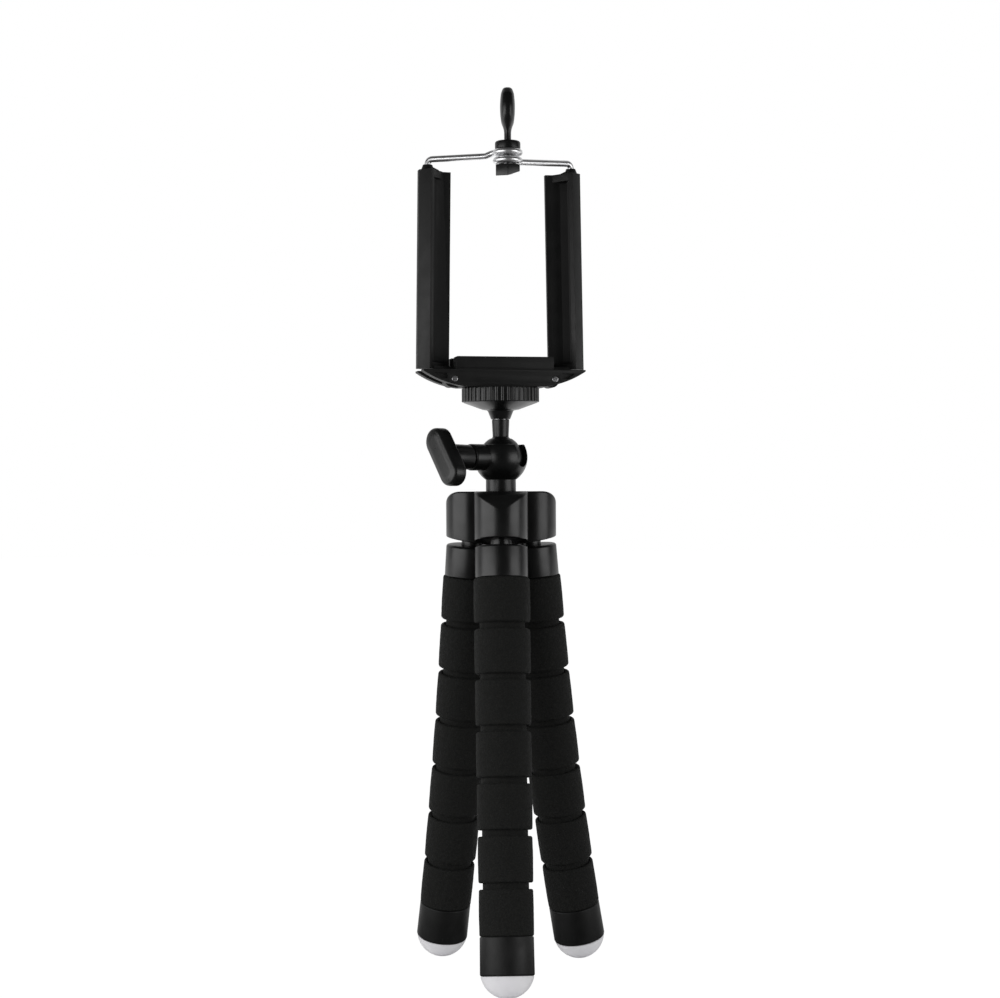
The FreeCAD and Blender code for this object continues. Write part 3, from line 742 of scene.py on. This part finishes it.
foamRing, foamRingKeys = ringTree()
for leg in legNames:
    makeLegSleeves(leg)
    makeFoamRings(leg, foamRing, foamRingKeys)
    makeFerrules(leg)
print("legs built")


# hub: three lobes under one domed top

hubSizes = {"lobeCircle": 13.45, "lobeR": 10.5, "dome": 7.5, "cut": 9.5, "lift": -0.1, "middleR": 9.5, "rise": 19.4,
            "edge": 0.8, "lowEdge": 0.4, "postR": 6.1, "postIn": 6.0, "coreR": 4.4, "headR": 3.1, "headLen": 2.2,
            "domeGap": 0.05, "holeLow": -6.0, "holeHigh": 10.5, "holeSides": 64, "sinkDrop": 9.0, "sinkSides": 48,
            "lobeSteps": 60, "webSteps": 6, "underShares": (0.2, 0.5, 0.8), "lowSteps": 5, "wallSteps": 4,
            "edgeSteps": 8, "topSteps": 16}


def hubOutline():
    c, r, m = hubSizes["lobeCircle"], hubSizes["lobeR"], hubSizes["middleR"]
    meet = math.acos((m * m + c * c - r * r) / (2 * m * c))  # where a lobe runs into the middle
    sweep = math.atan2(m * math.sin(meet), m * math.cos(meet) - c)
    outline, lobe, web = [], hubSizes["lobeSteps"], hubSizes["webSteps"]
    for leg in ("right", "left", "front"):
        away = legPaths[leg][0] - headAxis
        turn = Matrix.Rotation(math.atan2(away.y, away.x), 2)
        for k in range(lobe + 1):
            a = sweep * (2 * k / lobe - 1)
            normal = Vector((math.cos(a), math.sin(a)))
            outline.append((turn @ (normal * r + Vector((c, 0))), turn @ normal))
        for k in range(1, web):
            a = meet + (2 * math.pi / 3 - 2 * meet) * k / web
            normal = turn @ Vector((math.cos(a), math.sin(a)))
            outline.append((normal * m, normal))
    return outline


def hubDrop(reach):
    dome = hubSizes["dome"]
    past = reach - (hubSizes["lobeCircle"] + hubSizes["lobeR"] + hubSizes["domeGap"] - dome)
    return dome - math.sqrt(dome ** 2 - min(max(past, 0), dome) ** 2)


def hubUnder(point):
    slope, rise = math.tan(math.radians(hubSizes["cut"])), []
    for leg in legNames:
        away = (legPaths[leg][0] - headAxis).to_2d().normalized()
        rise.append(slope * (point.dot(away) - hubSizes["lobeCircle"]))
    return max(rise) + hubSizes["lift"] - hubSizes["rise"]


def hubColumn(point, normal):
    edge, low = hubSizes["edge"], hubSizes["lowEdge"]
    wall, top = hubSizes["wallSteps"], hubSizes["topSteps"]
    column = [(point * share, hubUnder(point * share)) for share in hubSizes["underShares"]]
    for a in quarter(hubSizes["lowSteps"]):
        spot = point - normal * low * (1 - math.sin(a))
        column.append((spot, hubUnder(spot) + low * (1 - math.cos(a))))
    crease, inner = -hubDrop(point.length), point - normal * edge
    foot = column[-1][1]
    column += [(point, foot + (crease - edge - foot) * k / wall) for k in range(1, wall)]
    for k in range(hubSizes["edgeSteps"] + 1):
        t = k / hubSizes["edgeSteps"]
        height = (1 - t) ** 2 * (crease - edge) + 2 * t * (1 - t) * crease - t * t * hubDrop(inner.length)
        column.append((point - normal * edge * t * t, height))
    mouth = inner.normalized() * hubSizes["postR"]
    for k in range(1, top + 1):
        spot = inner.lerp(mouth, k / top)
        column.append((spot, -hubDrop(spot.length)))
    return column + [(mouth, -hubSizes["postIn"])]


def makeHub():
    columns = [hubColumn(*item) for item in hubOutline()]
    base = Vector((headAxis.x, headAxis.y, hubTop))
    loops = []
    for k in range(len(columns[0])):
        loops.append([base + Vector((c[k][0].x, c[k][0].y, c[k][1])) * mm for c in columns])
    bm = bmesh.new()
    loft(bm, loops)
    hub = toObject("hub", bm)
    for leg in legNames:
        point, down = station(leg, 0)
        hole = rodProfile(hubSizes["coreR"], hubSizes["holeLow"], hubSizes["holeHigh"])
        cutWith(hub, toObject("hole", turnedMesh(hole, placed(point, -down), hubSizes["holeSides"])))
    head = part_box("socket_screw")[0].z / mm
    sink = rodProfile(hubSizes["headR"], head - hubSizes["sinkDrop"], head + hubSizes["headLen"])
    place = Matrix.Translation((headAxis.x, headAxis.y, 0))
    cutWith(hub, toObject("sink", turnedMesh(sink, place, hubSizes["sinkSides"])))
    fitted(hub, "base", "gloss_black", "hub", crease=40)


makeHub()
print("hub built")


# ball head: cup with its notch and boss, ball, T-knob and lock disc; the liner is kept from the frame below

cupSizes = {"r": 10.7, "inR": 9.51, "lipR": 8.85, "lipLow": 2.5, "rim": 5.2, "postR": 6.0, "postLow": 6.0,
            "postGap": 0.05, "rimTurn": 1.0, "rimIn": 0.25, "lipTurn": 0.6,
            "sides": 128, "outSteps": 40, "lipSteps": 8, "inSteps": 30,
            "notchW": 7.8, "notchSide": 318.0, "notchNear": 0.5, "notchFar": 20.0, "notchSteps": 24,
            "bossR": 5.25, "bossIn": 9.3, "bossEnd": 16.2, "bossSide": 208.0, "bossRounds": (0, 0, 0.8, 0),
            "bossSides": 80}


def sideways(angle):
    a = math.radians(angle)
    return placed(ballCentre, Vector((math.cos(a), math.sin(a), 0)))


def arcPoints(radius, first, last, steps):
    angles = [math.radians(first + (last - first) * k / steps) for k in range(steps + 1)]
    return [(radius * math.cos(a), radius * math.sin(a)) for a in angles]


def makeCup():
    sizes = cupSizes
    rimAngle = math.degrees(math.asin(sizes["rim"] / sizes["r"]))
    lipTop = math.degrees(math.asin(sizes["rim"] / sizes["lipR"]))
    lipAngle = math.degrees(math.asin(sizes["lipLow"] / sizes["lipR"]))
    inAngle = math.degrees(math.asin(sizes["lipLow"] / sizes["inR"]))
    postAngle = -math.degrees(math.acos(sizes["postR"] / sizes["r"]))
    postLow = hubTop / mm - sizes["postLow"] - ballCentre.z / mm + sizes["postGap"]
    profile = [(0, postLow), (sizes["postR"], postLow)]
    profile += arcPoints(sizes["r"], postAngle, rimAngle - sizes["rimTurn"], sizes["outSteps"])
    profile += [(sizes["r"] * math.cos(math.radians(rimAngle)) - sizes["rimIn"], sizes["rim"])]
    profile += arcPoints(sizes["lipR"], lipTop - sizes["lipTurn"], lipAngle, sizes["lipSteps"])
    inside = arcPoints(sizes["inR"], inAngle, -90, sizes["inSteps"])
    profile += inside[:-1] + [(0, -sizes["inR"])]
    cup = toObject("ballSocket", turnedMesh(profile, Matrix.Translation(ballCentre), sizes["sides"]))
    boss = rounded(rodProfile(sizes["bossR"], sizes["bossIn"], sizes["bossEnd"]), sizes["bossRounds"])
    joinedTo(cup, toObject("boss", turnedMesh(boss, sideways(sizes["bossSide"]), sizes["bossSides"])))
    half, far, steps = sizes["notchW"] / 2, sizes["notchFar"], sizes["notchSteps"]
    floor = [(-half * math.cos(a), -half * math.sin(a)) for a in (math.pi * k / steps for k in range(steps + 1))]
    outline = [(-half, far)] + floor + [(half, far)]
    turn = Matrix.Translation(ballCentre) @ Matrix.Rotation(math.radians(sizes["notchSide"]), 4, "Z")
    bm = bmesh.new()
    loft(bm, [[turn @ Vector((x * mm, y * mm, z * mm)) for y, z in outline] for x in (sizes["notchNear"], far)])
    cutWith(cup, toObject("notch", bm))
    fitted(cup, "base", "gloss_black", "ball_socket", crease=32)


ballSizes = {"r": 8.7, "foot": -88.0, "steps": 60, "stemR": 3.5, "stemFootR": 3.2, "stemEdge": 0.3, "fillet": 1.1,
             "filletRise": 0.95, "filletSteps": 8}


def makeBall():
    sizes = ballSizes
    stem = (stemTop - ballCentre.z) / mm
    reach = math.degrees(math.acos((sizes["stemFootR"] + sizes["fillet"]) / sizes["r"]))
    profile = [(0, -sizes["r"])] + arcPoints(sizes["r"], sizes["foot"], reach, sizes["steps"])
    x, y = profile[-1]
    for a in quarter(sizes["filletSteps"])[1:]:  # small fillet up to the stem
        profile.append((x - sizes["fillet"] * math.sin(a), y + sizes["filletRise"] * (1 - math.cos(a))))
    edge = sizes["stemEdge"]
    profile += [(sizes["stemR"], stem - edge), (sizes["stemR"] - edge, stem), (0, stem)]
    ball = toObject("ballStem", turnedMesh(profile, Matrix.Translation(ballCentre)))
    fitted(ball, "ball", "gloss_black", "ball_stem", crease=40)


knobSizes = {"stemStart": 16.6, "stemR": 4.9, "stemBigR": 5.15, "barIn": 24.8, "barOut": 31.4, "barLen": 25.5,
             "barW": 10.8, "round": 1.5, "roundSteps": 6, "roll": 35.0, "backIn": 3.0, "crown": 0.35,
             "crownReach": 2.2, "crownAt": (0.5, 1.0, 1.5, 2.2), "stemIn": 1.0,
             "stemRounds": (0, 0.5, 0, 0), "stemSides": 72}


def stadium(half, radius, place, depth, steps=20):
    loop = []
    for centre, first in ((half, 0), (-half, math.pi)):
        for k in range(steps + 1):
            a = first + math.pi * k / steps
            loop.append(place @ Vector((radius * math.cos(a) * mm, (centre + radius * math.sin(a)) * mm, depth * mm)))
    return loop


def makeKnob():
    sizes = knobSizes
    side = math.radians(cupSizes["bossSide"])
    outward = Vector((math.cos(side), math.sin(side), 0))
    across = up.cross(outward)
    frameOut = Matrix((across, up, outward)).transposed().to_4x4()  # X across, Y up, Z out of the boss
    place = Matrix.Translation(ballCentre) @ frameOut @ Matrix.Rotation(math.radians(sizes["roll"]), 4, "Z")
    half, radius, c = (sizes["barLen"] - sizes["barW"]) / 2, sizes["barW"] / 2, sizes["round"]
    turns, crown = quarter(sizes["roundSteps"]), sizes["crown"]
    back = [(sizes["backIn"], 0.0)] + [(c * (1 - math.sin(a)), c * (1 - math.cos(a))) for a in turns]
    loops = [stadium(half, radius - inset, place, sizes["barIn"] + deep) for inset, deep in back]
    top = [(c * (1 - math.cos(a)), -c * (1 - math.sin(a)) - crown) for a in turns]
    top += [(c + d, -crown * (1 - d / sizes["crownReach"]) ** 2) for d in sizes["crownAt"]]
    loops += [stadium(half, radius - inset, place, sizes["barOut"] + deep) for inset, deep in top]
    bm = bmesh.new()
    loft(bm, loops)
    knob = toObject("lockKnob", bm)
    low, high = sizes["stemStart"], sizes["barIn"] + sizes["stemIn"]
    profile = [(0, low), (sizes["stemR"], low), (sizes["stemBigR"], high), (0, high)]
    stem = turnedMesh(rounded(profile, sizes["stemRounds"]), sideways(cupSizes["bossSide"]), sizes["stemSides"])
    joinedTo(knob, toObject("knobStem", stem))
    fitted(knob, "knob", "satin_black", "lock_knob", crease=36)


discSizes = {"bore": 3.3, "neckR": 3.8, "flareR": 5.2, "flare": 3.6, "shoulderR": 7.4, "shoulder": 4.0, "cone": 6.8,
             "rimR": 15.0, "low": 0.1, "padOutR": 14.05, "padInR": 6.95, "padDeep": 0.9, "sides": 120,
             "rounds": (0, 0.2, 0.9, 1.2, 0.5, 0.5, 0.1, 0, 0, 0.1, 0),
             "knurls": 40, "rib": 0.72, "ribOut": 0.5, "ribSides": 12, "knurlInset": 0.22}


def makeDisc():
    sizes = discSizes
    height = (discTop - stemTop) / mm
    place = Matrix.Translation((headAxis.x, headAxis.y, stemTop))
    r, bore, low, seat = sizes["rimR"], sizes["bore"], sizes["low"], height - sizes["padDeep"]
    profile = [(bore, low), (sizes["neckR"], low), (sizes["flareR"], sizes["flare"]),
               (sizes["shoulderR"], sizes["shoulder"]), (r, sizes["cone"]), (r, height), (sizes["padOutR"], height),
               (sizes["padOutR"], seat), (sizes["padInR"], seat), (sizes["padInR"], height), (bore, height)]
    profile = rounded(profile, sizes["rounds"], closed=True)
    disc = toObject("lockDisc", turnedMesh(profile, place, sizes["sides"], True))
    tree, keys = knurlTree()
    values = {"Radius": (r + sizes["ribOut"] - sizes["rib"]) * mm, "Count": sizes["knurls"], "Rib": sizes["rib"] * mm,
              "Sides": sizes["ribSides"],
              "Height": (height - sizes["cone"] - 2 * sizes["knurlInset"]) * mm, "Material": finishes["satin_black"]}
    ribs = grown("lockDiscKnurl", bpy.data.meshes.new("lockDiscKnurl"), tree, keys, values)
    ribs.data.transform(place @ Matrix.Translation((0, 0, (sizes["cone"] + sizes["knurlInset"]) * mm)))
    fitted(disc, "disc", "satin_black", "lock_disc", crease=34)
    fitted(ribs, "disc", "satin_black", crease=50)


makeCup()
makeBall()
makeKnob()
makeDisc()
print("ball head built")


# phone clip

clipSizes = {"baseEdge": 0.45, "armEdge": 0.4, "nutEdge": 0.35, "crease": 28.0}


def makeClip():
    crease = clipSizes["crease"]
    base = softEdges(copied("clipBase", "clip_base"), clipSizes["baseEdge"])
    fitted(base, "clip", "satin_black", "clip_base", crease=crease, finish="matte")
    for side in ("left", "right"):
        arm = softEdges(copied("clipArm_" + side, "arm_" + side), clipSizes["armEdge"])
        fitted(arm, "jaw_" + side, "satin_black", "arm_" + side, crease=crease, finish="matte")
    nut = softEdges(copied("clampNut", "clamp_nut"), clipSizes["nutEdge"])
    fitted(nut, "wire_left", "gloss_black", "clamp_nut", crease=crease)


linkSizes = {"wireR": 1.25, "sides": 28, "bend": 2.0, "bendSteps": 10, "rise": 4.2, "down": 3.2, "left": 5.4,
             "right": 2.2, "kink": 4.5, "lead": 1.6, "eyeR": 4.6, "eyeStart": 14.0, "wrap": 330.0, "eyeSteps": 56}


def makeLink(side, tree, keys):
    sizes = linkSizes
    foot = jointPlace("wire_%s_turn" % side)
    eye = screwPlace + up * sizes[side] * mm
    corner = foot + up * sizes["rise"] * mm
    flat = Vector((eye.x - corner.x, eye.y - corner.y, 0)).normalized()
    eyeR = sizes["eyeR"] * mm
    end = eye - flat * eyeR
    cross = up.cross(flat)
    points = [foot - up * sizes["down"] * mm, corner, end - flat * sizes["lead"] * mm]
    if side == "left":  # steps up to its eye, over the other one
        step = end - flat * sizes["kink"] * mm
        points.insert(2, Vector((step.x, step.y, corner.z)))
    first, steps = math.pi + math.radians(sizes["eyeStart"]), sizes["eyeSteps"]
    for k in range(steps + 1):  # the eye, bent round the screw
        a = first + math.radians(sizes["wrap"]) * k / steps
        points.append(eye + (flat * math.cos(a) + cross * math.sin(a)) * eyeR)
    name = "linkWire_" + side
    data = bpy.data.curves.new(name, "CURVE")
    data.dimensions = "3D"
    line = data.splines.new("POLY")
    line.points.add(len(points) - 1)
    for spot, point in zip(line.points, points):
        spot.co = (*point, 1)
    values = {"Radius": sizes["wireR"] * mm, "Bend": sizes["bend"] * mm, "Bend Steps": sizes["bendSteps"],
              "Sides": sizes["sides"], "Material": finishes["chrome"]}
    piece = grown(name, data, tree, keys, values)
    fitted(piece, "wire_" + side, "chrome", "link_" + side, crease=50)


paddleSizes = {
    "rise": 6.7, "collarR": 5.0, "collarH": 3.1, "collarRounds": (0, 0.4, 0.9, 0), "collarSides": 80, "turn": -12.0,
    "power": 2.7, "end": 0.9, "endThin": 1.1, "endBroad": 1.6, "steps": 60, "endSteps": 8, "sides": 64,
    "thin": [(1.4, 2.6), (1.4, 6.8), (1.75, 8.5), (2.45, 10.5), (2.85, 13.8), (2.9, 17.8), (2.55, 21.6),
             (1.8, 24.0)],
    "broad": [(3.2, 2.6), (3.4, 6.5), (4.6, 9.5), (6.2, 13.0), (6.6, 17.0), (5.5, 21.0), (2.9, 24.0)],
}


def along(table, h):
    for k in range(len(table) - 1):
        if h <= table[k + 1][1] or k == len(table) - 2:
            break
    near = [table[min(max(k + d, 0), len(table) - 1)] for d in (-1, 0, 1, 2)]
    t = min(max((h - near[1][1]) / (near[2][1] - near[1][1]), 0), 1)
    a, b, c, d = (p[0] for p in near)
    return 0.5 * (2 * b + (c - a) * t + (2 * a - 5 * b + 4 * c - d) * t * t + (3 * b - a - 3 * c + d) * t ** 3)


def makeThumbscrew():
    sizes = paddleSizes
    place = Matrix.Translation(screwPlace + up * sizes["rise"] * mm)
    place = place @ Matrix.Rotation(math.radians(sizes["turn"]), 4, "Z")
    low, high, end, steps = sizes["thin"][0][1], sizes["thin"][-1][1], sizes["end"], sizes["steps"]
    levels = [(low + (high - low - end) * k / steps, 1.0) for k in range(steps + 1)]
    levels += [(high - end + end * math.sin(a), math.cos(a)) for a in quarter(sizes["endSteps"])[1:-1]]
    loops = []
    for h, share in levels:
        thin = along(sizes["thin"], h) - sizes["endThin"] * (1 - share)
        broad = along(sizes["broad"], h) - sizes["endBroad"] * (1 - share)
        ring = []
        for k in range(sizes["sides"]):
            a = 2 * math.pi * k / sizes["sides"]
            x = math.copysign(abs(math.cos(a)) ** (2 / sizes["power"]), math.cos(a)) * thin
            y = math.copysign(abs(math.sin(a)) ** (2 / sizes["power"]), math.sin(a)) * broad
            ring.append(place @ Vector((x * mm, y * mm, h * mm)))
        loops.append(ring)
    bm = bmesh.new()
    loft(bm, loops)
    paddle = toObject("thumbscrew", bm)
    profile = rounded(rodProfile(sizes["collarR"], 0, sizes["collarH"]), sizes["collarRounds"])
    joinedTo(paddle, toObject("collar", turnedMesh(profile, place, sizes["collarSides"])))
    fitted(paddle, "screw", "satin_black", "thumbscrew", crease=36)


makeClip()
linkTree, linkKeys = wireTree()
for side in ("left", "right"):
    makeLink(side, linkTree, linkKeys)
makeThumbscrew()
print("clip built")


# what stays as the frame gives it, with its finish

keptNodes = {
    "steel": ("socket_screw", "camera_screw", "lock_screw", "thumbscrew_stud", "hinge_pin_left", "hinge_pin_right"),
    "brass": ("thread_insert",),
    "nylon": ("ball_liner", "brake_pad"),
    "lining": ("disc_pad", "arm_pad_left", "arm_pad_right"),
}
for slot, names in keptNodes.items():
    for name in names:
        node = frame["nodes"][name]
        node.data.materials.clear()
        node.data.materials.append(finishes[slot])
print("kept nodes finished")
